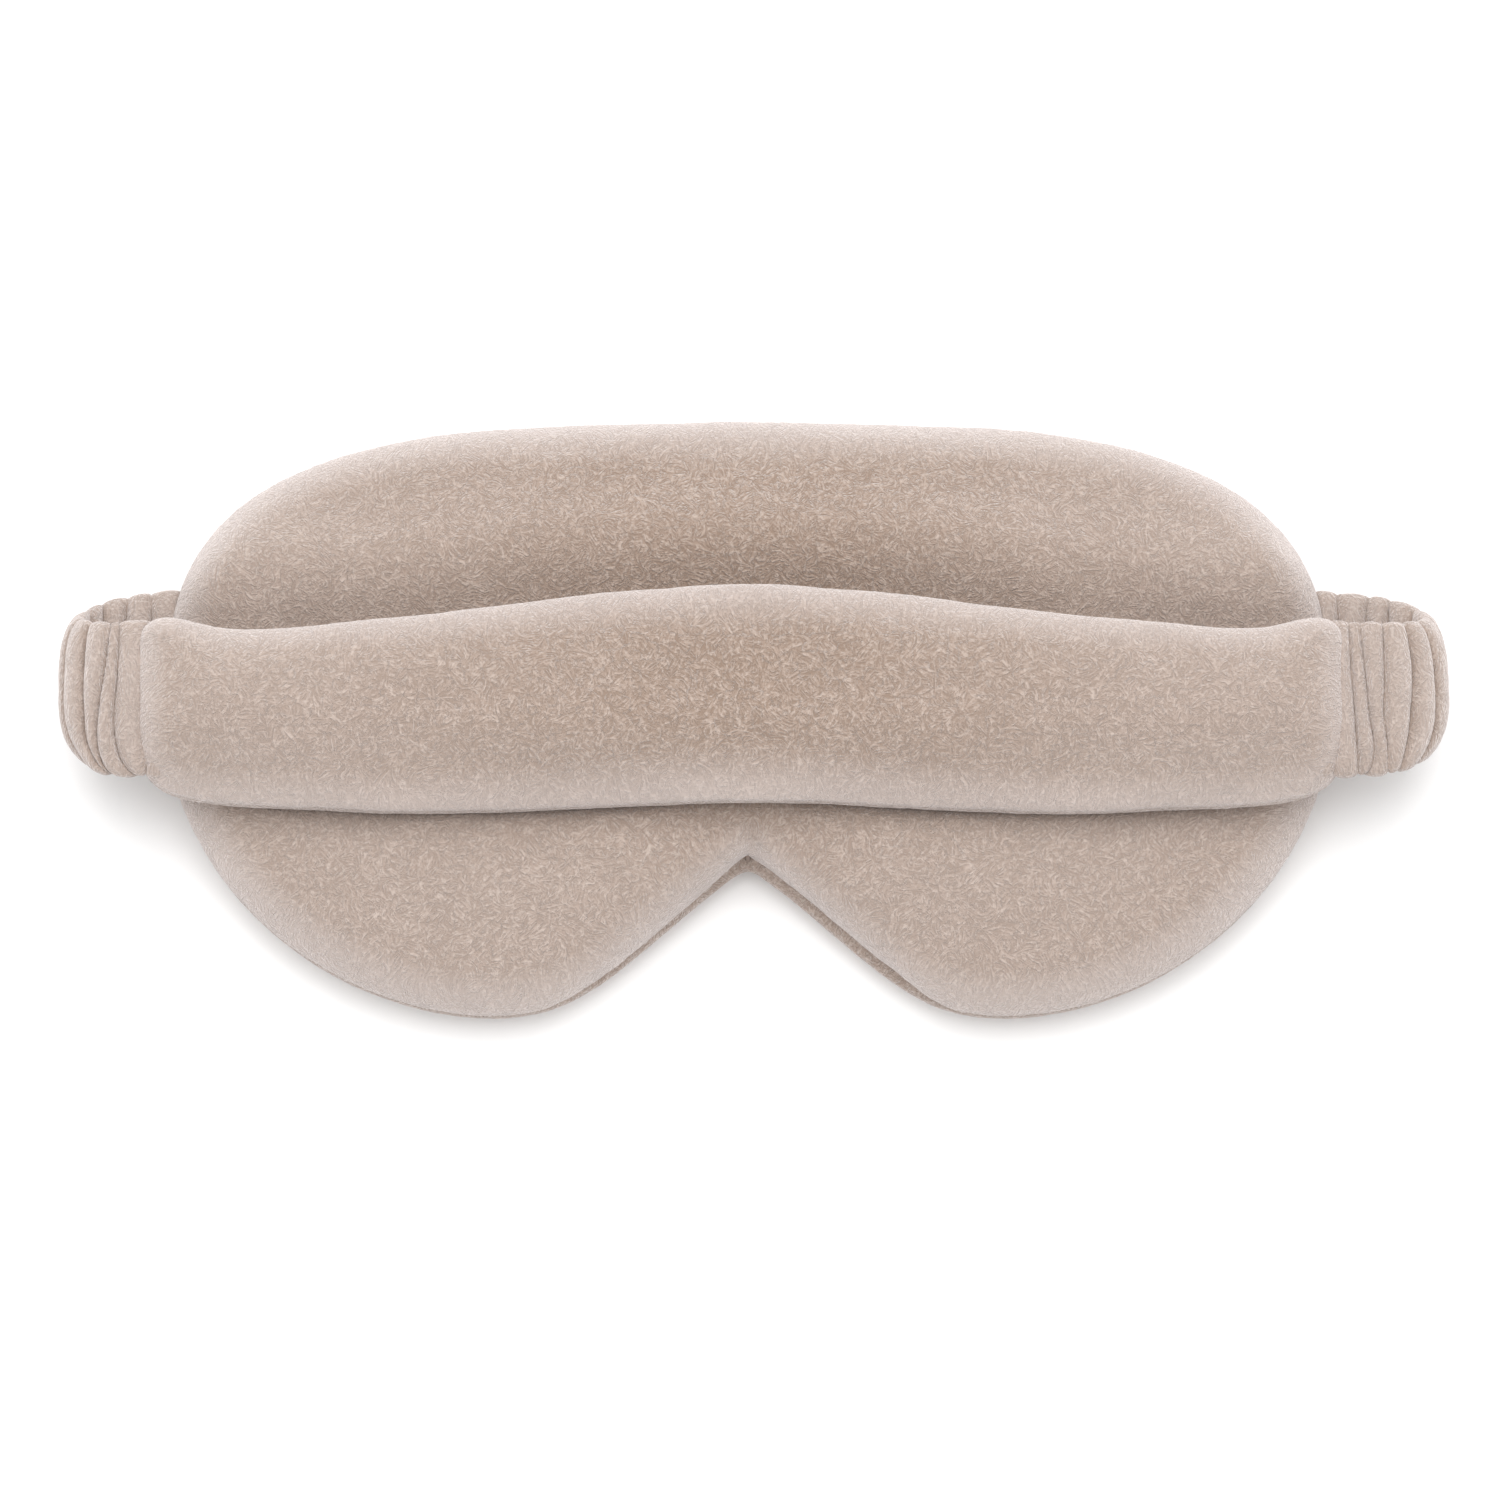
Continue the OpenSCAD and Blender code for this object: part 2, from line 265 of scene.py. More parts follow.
def pillow(name, edge, spacing, seam_z, rise, fall, width):
    """A closed, domed pad over an outline.

    Panel 0 is above its seam and panel 1 below, and they share the seam's points.
    """
    low, high = edge.min(0), edge.max(0)
    rows = np.arange(low[1], high[1], spacing * math.sqrt(3) / 2)
    grid = np.array([
        (x + (j % 2) * spacing / 2, y)
        for j, y in enumerate(rows)
        for x in np.arange(low[0], high[0], spacing)
    ])
    grid = grid[to_edge(grid, edge)[0] > RING_INSETS[-1] + 0.6 * spacing]
    run = np.roll(edge, -1, axis=0) - np.roll(edge, 1, axis=0)
    inwards = unit(np.stack([run[:, 1], -run[:, 0]], axis=1))
    rings = np.concatenate([edge + inwards * inset for inset in RING_INSETS])
    depth = np.repeat(RING_INSETS, len(edge))
    grid = np.concatenate([rings[to_edge(rings, edge)[0] > 0.93 * depth], grid])
    n = len(edge)
    ring = [(i, (i + 1) % n) for i in range(n)]
    flat, _, faces, *_ = delaunay_2d_cdt([Vector(p) for p in [*edge, *grid]], ring, [], 1, 1e-7)
    flat = np.array(flat)
    inset = np.maximum(to_edge(flat, edge)[0], 0)
    inset[:n] = 0
    dome = np.sqrt(1 - (1 - np.minimum(inset / width, 1)) ** 2)
    upper = np.column_stack([flat, seam_z + rise * dome])
    lower = np.column_stack([flat, seam_z - fall * dome])[n:]
    below = np.concatenate([np.arange(n), np.arange(len(lower)) + len(upper)])
    turned = [tuple(f) if signed_area(flat[list(f)]) > 0 else tuple(reversed(f)) for f in faces]
    under = [tuple(int(below[i]) for i in reversed(f)) for f in turned]
    ob = mesh_object(name, np.concatenate([upper, lower]), turned + under)
    for k in (0, 1):
        ob.data.materials.append(None)
    ob.data.polygons.foreach_set("material_index", [0] * len(turned) + [1] * len(under))
    ob.vertex_groups.new(name="seam").add(list(range(n)), 1.0, "REPLACE")
    return ob


def signed_area(p):
    """Twice a polygon's area, less than 0 if it runs clockwise."""
    q = np.roll(p, -1, axis=0)
    return float((p[:, 0] * q[:, 1] - q[:, 0] * p[:, 1]).sum())


def swell(ob, pressure, slack, cap):
    """Fills a sewn pad with cloth simulation: its seam is held, and no point moves further than cap."""
    rest = points_of(ob.data)
    cloth = ob.modifiers.new("filling", "CLOTH")
    s = cloth.settings
    s.quality = 6
    s.mass = 0.1
    s.tension_stiffness = s.compression_stiffness = 12
    s.shear_stiffness = 4
    s.bending_stiffness = 0.3
    s.air_damping = 4
    s.use_pressure = True
    s.uniform_pressure_force = pressure
    s.shrink_min = -slack
    s.vertex_group_mass = "seam"
    s.effector_weights.gravity = 0
    cloth.collision_settings.use_collision = False
    for step in range(1, 21):
        bpy.context.scene.frame_set(step)
    points, _, _ = frozen(ob)
    ob.modifiers.remove(cloth)
    bpy.context.scene.frame_set(1)
    move = points - rest
    pairs = np.array([tuple(e.vertices) for e in ob.data.edges])
    pairs = np.concatenate([pairs, pairs[:, ::-1]])
    count = np.bincount(pairs[:, 0], minlength=len(rest))[:, None]
    for _ in range(4):  # evens out the movement
        around = np.zeros_like(move)
        np.add.at(around, pairs[:, 0], move[pairs[:, 1]])
        move = 0.4 * move + 0.6 * around / count
    far = np.linalg.norm(move, axis=1, keepdims=True)
    print(f"{ob.name} swelled by up to {far.max() / MM:.2f} mm, mean {far.mean() / MM:.2f} mm")
    points = rest + move * np.minimum(1, cap / np.maximum(far, 1e-9))
    ob.data.vertices.foreach_set("co", points.ravel())
    ob.data.update()


def refined(ob, levels):
    """The points, faces and panels of a pad's mesh after that many subdivisions."""
    ob.modifiers.new("refine", "SUBSURF").levels = levels
    points, faces, panel = frozen(ob)
    bpy.data.objects.remove(ob)
    return points, np.array(faces), panel


def pile_relief(points, normals, nap, seed):
    """The low relief of the pile's tufts."""
    tufts = streaks(points, nap, 0.9 * MM, 2.0 * MM, seed)
    lumps = noise(points, 4 * MM, seed + 9)
    return points + normals * (0.035 * MM * tufts + 0.06 * MM * lumps)[:, None]


def combed(points, normals, way, weight, seed):
    """The direction that the pile lies in: along way by weight, and swirling."""
    broad = 0.4 * swirl(points, 8 * MM, seed)
    curls = 1.5 * swirl(points, 1.8 * MM, seed + 5)
    lie = way * weight[:, None] + broad + curls
    return unit(lie - (lie * normals).sum(1, keepdims=True) * normals)


def cloth_piece(name, points, faces, nap, painted_light):
    """One panel of cloth, with only the points that its faces use, its pile's lie and its painted
    light: painted sheen and highlight that make it paler.
    """
    used, index = np.unique(faces, return_inverse=True)
    ob = mesh_object(name, points[used], index.reshape(faces.shape))
    lie = ob.data.attributes.new("nap", "FLOAT_VECTOR", "POINT")
    lie.data.foreach_set("vector", nap[used].astype(np.float32).ravel())
    painted_light_layer = ob.data.attributes.new("painted_light", "FLOAT", "POINT")
    painted_light_layer.data.foreach_set("value", painted_light[used].astype(np.float32))
    return ob


def dressed(points, faces, panel, outline, names, painted_sheen_width, seed):
    """The two panels of a shaped pad, with their pile.

    Painted sheen makes the cloth paler along the seams, and on the upper panel towards the ends and the
    lobes too.
    """
    normals = vertex_normals(points, faces)
    inset, way = to_edge(points[:, :2], outline(2 * MM))
    outward = np.column_stack([-way, np.zeros(len(way))])
    edge = smooth(1 - inset / painted_sheen_width)
    nap = combed(points, normals, outward, 2.2 * edge, seed)
    points = pile_relief(points, normals, nap, seed + 20)
    outer = np.hypot(points[:, 0], 2.5 * np.minimum(points[:, 1], 0)) / (105 * MM)
    # painted sheen: the upper panel paler along its seams and towards its ends and lobes, the lower one
    # a little paler along its seams
    painted_light_by_panel = (np.maximum(edge, 0.42 * smooth(outer)), 0.3 * edge)
    return [
        cloth_piece(name, points, faces[panel == k], nap, painted_light_by_panel[k])
        for k, name in enumerate(names)
    ]


# ---------- The mask ----------

def seam_pinch(inset, off_seam):
    """How far a sewn edge is drawn in at its seam, less the roll that swells out beside it."""
    beside = bell(off_seam / (6 * MM)) * (1 - bell(off_seam / (2.5 * MM)))
    return SEAM_DRAW * bell(off_seam / (1.4 * MM)) - 1.2 * MM * beside


def shape_mask(points, face_side):
    """Draws in the seam, rolls the face panel back along the notch, and adds its crease and lumps."""
    inset, way = to_edge(points[:, :2], mask_outline(2 * MM))
    inset = np.maximum(inset, 0)
    off_seam = np.hypot(inset, points[:, 2] - SEAM_Z)
    x, y = points[:, 0].copy(), points[:, 1].copy()
    above = y + NOTCH_H

    # At the notch's top everything is pushed straight up.
    at_top = bell(x / (5 * MM)) * smooth(1.6 - np.abs(above) / (8 * MM))
    way[:, 0] *= 1 - at_top
    way = unit(way)

    # Along the notch's sides the face panel is rolled back, more on the right.
    flank = smooth((42 * MM - np.abs(x)) / (16 * MM)) * smooth((way[:, 1] - 0.2) / 0.3)
    flank *= smooth(-(y + 20 * MM) / (6 * MM)) * smooth((16 * MM - inset) / (6 * MM))
    wider = 0.5 + 0.5 * np.tanh((x + 4 * MM) / (6 * MM))
    roll = flank * (0.9 + 1.1 * wider) * MM
    reach = np.where(face_side, 7 * MM, 1.3 * MM)
    rolled = roll * bell(off_seam / reach)
    groove = 0.9 * MM * flank * bell(off_seam / (1.2 * MM))
    shift = rolled + (1 - flank) * seam_pinch(inset, off_seam) + groove
    points[:, :2] += way * shift[:, None]

    # The seam is pinched to a point at the notch's top, under a short crease.
    peak = np.exp(-np.abs(x) / (2.4 * MM)) * smooth(1 - np.abs(above) / (9 * MM))
    points[:, 1] += 1.6 * MM * peak * bell(off_seam / reach)
    fade = smooth(1 - above / (14 * MM)) * (above > -4 * MM) * smooth(off_seam / (3 * MM))
    crease = -2.4 * bell((x - 0.9 * MM) / (1.4 * MM)) + 1.2 * bell((x + 3.2 * MM) / (2.4 * MM))
    points[:, 2] += crease * MM * fade * face_side

    crown = smooth((inset - 4 * MM) / (12 * MM)) * face_side
    flat = points * [1, 1, 0]
    lumps = 0.35 * noise(flat, 34 * MM, 5) + 0.15 * noise(flat, 15 * MM, 6)
    points[:, 2] += lumps * MM * crown
    return points


def shape_outer_edge(line):
    """Shapes the mask's seam line as part of its outer panel."""
    return shape_mask(line, np.zeros(len(line), bool))


def press_mask(points):
    """Flattens the mask under the band and on the floor, and lets it swell beside the band."""
    inside, _ = to_edge(points[:, :2], band_outline(4 * MM))
    pressed = smooth((inside + 1 * MM) / (5 * MM))
    height = smooth((points[:, 2] - 12 * MM) / (8 * MM))
    brow_side = smooth(points[:, 1] / (10 * MM))
    swollen = bell((inside + 14 * MM) / (8 * MM)) * (0.6 + 2.0 * brow_side)
    points[:, 2] += (swollen - 1.6 * brow_side * bell(inside / (5 * MM))) * MM * height
    under_band, floor = BAND_Z - 0.3 * MM, 0.2 * MM
    points[:, 2] -= np.maximum(points[:, 2] - under_band, 0) * pressed
    points[:, 2] = np.maximum(points[:, 2], floor)
    return points


def build_mask():
    """The mask's face panel and outer panel."""
    spacing, rounding = 5.5 * MM, 13 * MM
    ob = pillow("mask_pad", mask_outline(spacing), spacing, SEAM_Z, CROWN_Z - SEAM_Z, SEAM_Z, rounding)
    swell(ob, pressure=4, slack=0.02, cap=2 * MM)
    points, faces, panel = refined(ob, FINE)
    face_side = np.zeros(len(points), bool)
    face_side[faces[panel == 0].ravel()] = True
    points = press_mask(shape_mask(points, face_side))
    names = ("mask_face_cloth", "mask_outer_cloth")
    return dressed(points, faces, panel, mask_outline, names, 13 * MM, 11)


# ---------- The head band ----------

def shape_band(points):
    """Draws in the band's seam, lets its lower edge droop, and gives its front some soft lumps."""
    inset, way = to_edge(points[:, :2], band_outline(2 * MM))
    inset = np.maximum(inset, 0)
    off_seam = np.hypot(inset, points[:, 2] - BAND_SEAM_Z)
    points[:, :2] += 0.6 * way * seam_pinch(inset, off_seam)[:, None]
    front = smooth((points[:, 2] - BAND_SEAM_Z) / (5 * MM))
    points[:, 2] -= 4.3 * MM * smooth((-points[:, 1] - 3 * MM) / (16 * MM)) * (0.75 + 0.25 * front)
    flat = points * [1, 1, 0]
    lumps = 0.3 * noise(flat, 28 * MM, 15) + 0.15 * noise(flat, 13 * MM, 16)
    points[:, 2] += lumps * MM * smooth((inset - 4 * MM) / (12 * MM)) * (points[:, 2] > BAND_SEAM_Z)
    points[:, 2] = np.maximum(points[:, 2], BAND_Z)
    return points


def build_band():
    """The band's front panel and back panel."""
    rise, fall = BAND_TOP_Z - BAND_SEAM_Z, BAND_SEAM_Z - BAND_Z
    spacing, rounding = 3.4 * MM, 17 * MM
    ob = pillow("band_pad", band_outline(spacing), spacing, BAND_SEAM_Z, rise, fall, rounding)
    swell(ob, pressure=4, slack=0.02, cap=2 * MM)
    points, faces, panel = refined(ob, FINE)
    points = shape_band(points)
    names = ("band_front_cloth", "band_back_cloth")
    return dressed(points, faces, panel, band_outline, names, 12 * MM, 51)


# ---------- The elastic loops ----------

LEG_IN = 6.5 * MM  # how far each end of a loop reaches into its pad
MASK_LEG = LOOP_X - MASK_HALF_W + LEG_IN
BAND_LEG = LOOP_X - BAND_HALF_W + LEG_IN
TURN = math.pi * LOOP_R
LOOP_LENGTH = MASK_LEG + TURN + BAND_LEG


def loop_line(s):
    """The right loop's middle line and outward direction, at lengths s from its end in the mask."""
    turn = np.clip((s - MASK_LEG) / LOOP_R, 0, math.pi)
    x = LOOP_X + LOOP_R * np.sin(turn)
    x = x - np.maximum(MASK_LEG - s, 0) - np.maximum(s - MASK_LEG - TURN, 0)
    y = LOOP_MASK_Y + (LOOP_BAND_Y - LOOP_MASK_Y) * smooth(turn / math.pi)
    z = SEAM_Z + LOOP_R * (1 - np.cos(turn))
    outward = np.stack([np.sin(turn), 0 * turn, -np.cos(turn)], axis=-1)
    return np.stack([x, y, z], axis=-1), outward


def grid_quads(rows, columns):
    """Faces of a grid of points that is closed across its columns."""
    i, j = np.meshgrid(np.arange(rows - 1), np.arange(columns), indexing="ij")
    k = (j + 1) % columns
    quads = [i * columns + j, i * columns + k, (i + 1) * columns + k, (i + 1) * columns + j]
    return np.stack(quads, axis=2).reshape(-1, 4)


def gathers(s, v, folds, seed):
    """How far a gathered sleeve's cloth stands out: round rolls between narrow, leaning folds."""
    wander = 0.45 * MM * noise(np.stack([s, v * 9 * MM, 0 * s], axis=1), 6 * MM, seed)
    low = np.maximum(-v, 0) ** 3
    at = np.stack([(place + lean * v + bend * low) * MM for place, lean, bend in folds])
    at = np.sort(at, axis=0)
    k = np.clip((s + wander > at).sum(0), 1, len(folds) - 1)
    rows = np.arange(len(s))
    before, after = at[k - 1, rows], at[k, rows]
    gap = np.maximum(after - before, 0.3 * MM)
    t = np.clip((s + wander - before) / gap, 0, 1)
    roll = np.sqrt(1 - (2 * t - 1) ** 2)
    height = np.minimum(0.65 * gap, 2.9 * MM)
    return (roll - 0.5) * height


def draw_in_edges(points, across, outward):
    """Draws a loop's edges in at its turn, the low one more."""
    depth = np.where(across > 0, 1.3, 2.3) * MM
    points[:, 0] -= depth * np.abs(across) ** 3 * np.maximum(outward[:, 0], 0)


def reached(points, side):
    """Moves the turn of a right loop out, or in for the left one, and puts it on its side."""
    turn = smooth((points[:, 0] - LOOP_X) / LOOP_R)
    points[:, 0] += (0.9 if side > 0 else -1.3) * MM * turn
    points[:, 0] *= side
    return points


def build_sleeve(side, name, folds, seed):
    """A ruched plush tube round one loop.

    Each fold is its place, its lean and its bend at the low end, in mm along the loop.
    """
    rows, columns = ((300, 150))
    s = np.repeat(np.linspace(0, LOOP_LENGTH, rows), columns)
    around = np.tile(np.linspace(0, 2 * math.pi, columns, endpoint=False), rows)
    across = np.sign(np.cos(around)) * np.abs(np.cos(around)) ** 0.8
    thick = np.sign(np.sin(around)) * np.abs(np.sin(around)) ** 0.75
    middle, outward = loop_line(s)
    along = 2 * s / LOOP_LENGTH - 1
    width = (13.6 + np.where(along > 0, 1.7, 2.4) * smooth(np.abs(along))) * MM
    points = middle + outward * (0.48 * SLEEVE_T * thick)[:, None]
    points[:, 1] += width * across
    draw_in_edges(points, across, outward)
    quads = grid_quads(rows, columns)
    normals = vertex_normals(points, quads)
    if (normals * (points - middle)).sum() < 0:
        quads, normals = quads[:, ::-1], -normals
    edge = np.where(across > 0, 0.75, 0.6) * np.abs(across) ** 4
    smoother = (1 - edge) * (1 - 0.5 * np.maximum(outward[:, 0], 0) ** 8)
    lift = gathers(s, across * 1.2 + 0.3 * thick, folds, seed) * smoother
    points += normals * (lift + 0.35 * MM * noise(points, 9 * MM, seed + 3))[:, None]
    points = reached(points, side)
    quads = quads if side > 0 else quads[:, ::-1]
    normals = vertex_normals(points, quads)
    lie = np.tile([0.0, 1.0, 0.0], (len(points), 1))
    nap = combed(points, normals, lie, np.full(len(points), 1.2), seed)
    # painted highlight and shade: paler on top of the rolls, browner in the grooves between them
    painted_light = np.clip(0.4 + 0.24 * lift / MM, 0.05, 0.75)  # palest on top of the rolls
    return cloth_piece(name, pile_relief(points, normals, nap, seed + 20), quads, nap, painted_light)


def build_elastic(side, name):
    """The flat elastic inside one loop, with ribs along it and a weft that crosses them."""
    rows, columns = 240, 120
    s = np.repeat(np.linspace(0, LOOP_LENGTH, rows), columns)
    around = np.tile(np.linspace(0, 2 * math.pi, columns, endpoint=False), rows)
    across = np.sign(np.cos(around)) * np.abs(np.cos(around)) ** 0.35
    face = np.sign(np.sin(around)) * np.abs(np.sin(around)) ** 0.35
    middle, outward = loop_line(s)
    rib = np.cos(2 * math.pi * across * 9) * np.abs(face) + 0.4 * np.cos(2 * math.pi * s / (0.9 * MM))
    points = middle + outward * (0.55 * MM * face + 0.05 * MM * rib * face)[:, None]
    points[:, 1] += 11 * MM * across
    draw_in_edges(points, 0.8 * across, outward)
    points = reached(points, side)
    quads = grid_quads(rows, columns)
    return mesh_object(name, points, quads if side > 0 else quads[:, ::-1])


# ---------- Thread ----------

def stitches(name, starts, ends, rise, radius):
    """One mesh of separate stitches: round threads from starts to ends that arch by rise."""
    steps, sides = 6, 7
    t = np.linspace(0, 1, steps)[None, :, None]
    line = starts[:, None] + (ends - starts)[:, None] * t + rise[:, None] * np.sin(math.pi * t)
    along = unit(np.gradient(line, axis=1))
    beside = unit(np.cross(along, np.array([0.31, 0.2, 0.93])))
    over = np.cross(along, beside)
    turn = np.linspace(0, 2 * math.pi, sides, endpoint=False)[None, None, :, None]
    thick = radius * np.sin(math.pi * (0.06 + 0.88 * t))[..., None] ** 0.4
    round_it = beside[:, :, None] * np.cos(turn) + over[:, :, None] * np.sin(turn)
    ring = line[:, :, None] + thick * round_it
    one = grid_quads(steps, sides)
    quads = [one + k * steps * sides for k in range(len(starts))]
    faces = [tuple(q) for q in np.concatenate(quads).tolist()]
    for k in range(len(starts)):
        first = k * steps * sides
        last = first + (steps - 1) * sides
        faces.append(tuple(range(first + sides - 1, first - 1, -1)))
        faces.append(tuple(range(last, last + sides)))
    return mesh_object(name, ring.reshape(-1, 3), faces)


def seam_stitches(name, line, pitch):
    """Lockstitches along a closed seam line, with a small gap between each two."""
    around = np.vstack([line, line[:1]])
    along = np.concatenate([[0], np.cumsum(np.linalg.norm(np.diff(around, axis=0), axis=1))])
    count = round(along[-1] / pitch)
    at = np.arange(count) * along[-1] / count
    starts, ends = (
        np.stack([np.interp(at + shift, along, around[:, k]) for k in range(3)], axis=1)
        for shift in (0, 0.82 * along[-1] / count)
    )
    rise = np.tile([0, 0, 0.25 * MM], (count, 1))
    return stitches(name, starts, ends, rise, 0.2 * MM)


def inner_seam(outline, z, shape, inset):
    """The seam line of a shaped pad, moved in by an inset."""
    flat = outline(1.5 * MM)
    line = shape(np.column_stack([flat, np.full(len(flat), z)]))
    _, way = to_edge(flat, flat)
    line[:, :2] += way * inset
    return line


def end_stitches(name, x, y, z):
    """A row of stitches through both panels and the end of a loop."""
    across = y + np.linspace(-10, 10, 9) * MM
    starts = np.column_stack([np.full(9, x), across, np.full(9, z - 2.2 * MM)])
    ends = starts + [0, 0.6 * MM, 4.4 * MM]
    rise = np.tile([math.copysign(0.3 * MM, x), 0, 0], (9, 1))
    return stitches(name, starts, ends, rise, 0.22 * MM)


def build_tack(face_cloth):
    """Three turns of thread that pinch the seam at the top of the notch."""
    points = points_of(face_cloth.data)
    near = points[(np.abs(points[:, 0]) < 0.6 * MM) & (points[:, 1] < 6 * MM - NOTCH_H)]
    seam = near[near[:, 2].argmin()]
    x = np.linspace(-0.28, 0.28, 3) * MM
    top = seam + np.column_stack([x, np.full(3, 1.0 * MM), np.full(3, 2.6 * MM)])
    bottom = seam + np.column_stack([0.6 * x, np.full(3, -1.9 * MM), np.full(3, -1.7 * MM)])
    rise = np.tile([0, -0.5 * MM, 0.7 * MM], (3, 1))
    return stitches("nose_tack_thread", top, bottom, rise, 0.2 * MM)


# ---------- Filling ----------

def inset_outline(outline, spacing, inset):
    """An outline moved inwards."""
    flat = outline(spacing)
    _, way = to_edge(flat, flat)
    return flat + way * inset


def build_wadding(name, outline, z, rise, fall, seed):
    """A loose fibre filling, a little smaller than the cloth round it."""
    ob = pillow(name, inset_outline(outline, 6 * MM, WADDING_INSET), 6 * MM, z, rise, fall, 11 * MM)
    points, faces, _ = refined(ob, 2)
    points += vertex_normals(points, faces) * (0.35 * MM * noise(points, 4 * MM, seed))[:, None]
    return mesh_object(name, points, faces)


# ---------- Materials ----------

def new_material(name):
    """A material with its nodes, its links and its shader."""
    m = bpy.data.materials.new(name)
    m.use_nodes = True
    nodes, links = m.node_tree.nodes, m.node_tree.links
    return m, nodes, links, nodes["Principled BSDF"]


def math_node(nodes, links, op, a, b):
    n = nodes.new("ShaderNodeMath")
    n.operation = op
    for socket, value in zip(n.inputs, (a, b)):
        if isinstance(value, (int, float)):
            socket.default_value = value
        else:
            links.new(value, socket)
    return n.outputs[0]


def noise_node(nodes, links, vector, size, detail):
    """Noise from 0 to 1, with bumps about that size across."""
    n = nodes.new("ShaderNodeTexNoise")
    n.inputs["Scale"].default_value = 1 / size
    n.inputs["Detail"].default_value = detail
    links.new(vector, n.inputs["Vector"])
    return n.outputs["Fac"]


def colour_ramp(nodes, links, value, *stops):
    """A colour for each value. Each stop is its place and its colour."""
    ramp = nodes.new("ShaderNodeValToRGB")
    elements = ramp.color_ramp.elements
    while len(elements) < len(stops):
        elements.new(0.5)
    for element, (place, colour) in zip(elements, stops):
        element.position = place
        element.color = (*colour, 1)
    links.new(value, ramp.inputs["Fac"])
    return ramp.outputs["Color"]


def multiplied(nodes, links, a, b):
    """The product of two colours."""
    mix = nodes.new("ShaderNodeMix")
    mix.data_type = "RGBA"
    mix.blend_type = "MULTIPLY"
    mix.inputs["Factor"].default_value = 1
    links.new(a, mix.inputs[6])
    links.new(b, mix.inputs[7])
    return mix.outputs[2]


def bumped(nodes, links, shader, height, distance):
    bump = nodes.new("ShaderNodeBump")
    bump.inputs["Strength"].default_value = 1
    bump.inputs["Distance"].default_value = distance
    links.new(height, bump.inputs["Height"])
    links.new(bump.outputs["Normal"], shader.inputs["Normal"])


def drawn_out(nodes, links, place, nap, size, length, taps):
    """Noise averaged along the nap, which turns it into short locks. It runs from 0 to 1."""
    total = None
    for k in range(taps):
        step = nodes.new("ShaderNodeVectorMath")
        step.operation = "MULTIPLY_ADD"
        step.inputs[1].default_value = ((k / (taps - 1) - 0.5) * length,) * 3
        links.new(nap, step.inputs[0])
        links.new(place, step.inputs[2])
        tap = noise_node(nodes, links, step.outputs[0], size, 0.0)
        total = tap if total is None else math_node(nodes, links, "ADD", total, tap)
    spread = nodes.new("ShaderNodeMapRange")
    spread.inputs["From Min"].default_value = 0.41 * taps
    spread.inputs["From Max"].default_value = 0.59 * taps
    links.new(total, spread.inputs["Value"])
    return spread.outputs["Result"]


def plush():
    """Short plush: curled locks of pile, browner between them, and painted paler where painted sheen
    and highlight fall.
    """
    m, nodes, links, shader = new_material("plush_cloth")
    place = nodes.new("ShaderNodeTexCoord").outputs["Object"]
    nap = nodes.new("ShaderNodeAttribute")
    nap.attribute_name = "nap"
    painted_light = nodes.new("ShaderNodeAttribute")
    painted_light.attribute_name = "painted_light"
    combed_locks = drawn_out(nodes, links, place, nap.outputs["Vector"], 0.3 * MM, 1.5 * MM, 6)
    field = noise_node(nodes, links, place, 0.75 * MM, 0.5)
    turns = math_node(nodes, links, "MULTIPLY", field, 11.0)
    wave = math_node(nodes, links, "SINE", turns, 0.0)
    curled = nodes.new("ShaderNodeMapRange")
    curled.interpolation_type = "SMOOTHSTEP"
    curled.inputs["From Min"].default_value = -0.9
    curled.inputs["From Max"].default_value = 0.9
    links.new(wave, curled.inputs["Value"])
    both = nodes.new("ShaderNodeMix")
    both.inputs["Factor"].default_value = 0.36
    links.new(combed_locks, both.inputs["A"])
    links.new(curled.outputs["Result"], both.inputs["B"])
    locks = both.outputs["Result"]

    tone = colour_ramp(
        nodes, links, locks,
        (0.1, (0.255, 0.183, 0.139)), (0.5, (0.338, 0.254, 0.205)), (0.9, (0.447, 0.359, 0.305)),
    )
    patches = noise_node(nodes, links, place, 16 * MM, 2.0)
    patch = colour_ramp(nodes, links, patches, (0.35, (0.955, 0.945, 0.935)), (0.65, (1.0, 1.0, 1.0)))
    # painted sheen and highlight: a pale pink mixed into the cloth's colour by the painted_light
    # attribute
    painted_light_layer = nodes.new("ShaderNodeMix")
    painted_light_layer.data_type = "RGBA"
    links.new(math_node(nodes, links, "MULTIPLY", painted_light.outputs["Fac"], 0.5), painted_light_layer.inputs["Factor"])
    links.new(multiplied(nodes, links, tone, patch), painted_light_layer.inputs[6])
    painted_light_layer.inputs[7].default_value = (0.56, 0.497, 0.475, 1)
    links.new(painted_light_layer.outputs[2], shader.inputs["Base Color"])
    bumped(nodes, links, shader, locks, 0.28 * MM)
    shader.inputs["Roughness"].default_value = 0.95
    shader.inputs["Specular IOR Level"].default_value = 0.1
    shader.inputs["Sheen Weight"].default_value = 1.0
    shader.inputs["Sheen Roughness"].default_value = 0.5
    shader.inputs["Sheen Tint"].default_value = (1.0, 0.94, 0.93, 1)
    return m


def floor_material():
    m, nodes, links, shader = new_material("pale_floor")
    shader.inputs["Base Color"].default_value = (0.96, 0.96, 0.96, 1)
    shader.inputs["Roughness"].default_value = 0.9
    shader.inputs["Specular IOR Level"].default_value = 0.1
    return m


